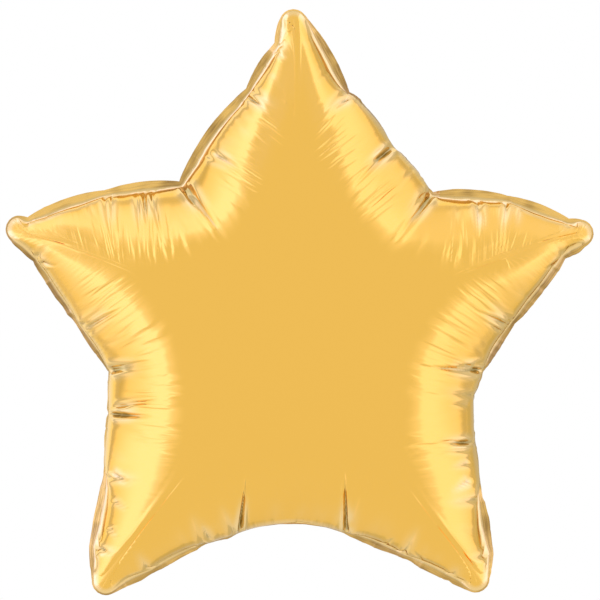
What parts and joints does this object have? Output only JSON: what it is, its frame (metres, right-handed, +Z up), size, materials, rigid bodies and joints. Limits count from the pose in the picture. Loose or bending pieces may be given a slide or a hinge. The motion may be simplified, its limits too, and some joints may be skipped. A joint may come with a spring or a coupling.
{
  "type": "star foil balloon",
  "caption": "Puffed star-shaped foil party balloon with a flat gathered seam round its edge and a filling neck folded up behind the back panel.",
  "frame": {"origin": "middle of the sealed edge at the bottom notch, where the filling neck starts and the ribbon is tied", "axes": "+Z up through the top arm, -Y out of the front panel, +X to the right as seen from the front"},
  "size_m": [0.4697, 0.167, 0.4692],
  "materials": {
    "gold_film": "shiny gold metallised film, smooth in the middle and finely gathered along the seam"
  },
  "bodies": {
    "root": {"star_balloon": "gold_film"}
  },
  "joints": []
}
